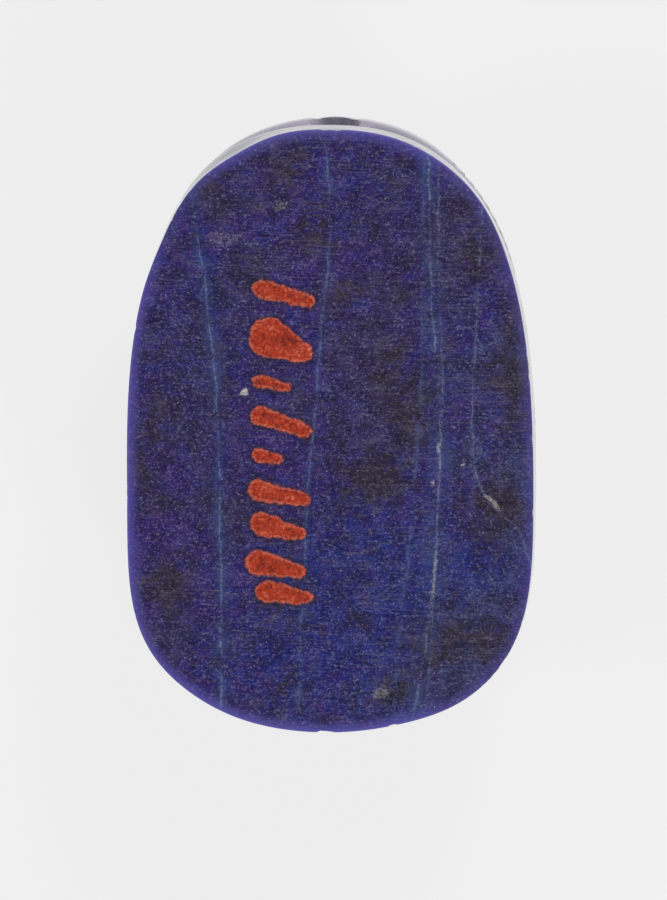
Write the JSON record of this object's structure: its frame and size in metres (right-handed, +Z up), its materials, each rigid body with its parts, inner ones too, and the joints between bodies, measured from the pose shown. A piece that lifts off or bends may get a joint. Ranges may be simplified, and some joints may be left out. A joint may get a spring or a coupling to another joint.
{
  "type": "scarab amulet",
  "caption": "Beetle-shaped stone amulet lying on its domed back, with a flat oval base face up, carved legs and a lengthwise thread hole.",
  "frame": {"origin": "on the ground below the middle of the bounding box, with the amulet lying on the worn flat of its back", "axes": "+Y from the tail to the head along the amulet's length, +X across it, +Z up out of the flat base face"},
  "size_m": [0.0126, 0.019, 0.0082],
  "materials": {
    "lapis_lazuli": "polished deep blue stone with pale greenish veins, fine specks and hand-painted red-orange marks on the flat base"
  },
  "bodies": {
    "root": {"scarab": "lapis_lazuli"}
  },
  "joints": []
}
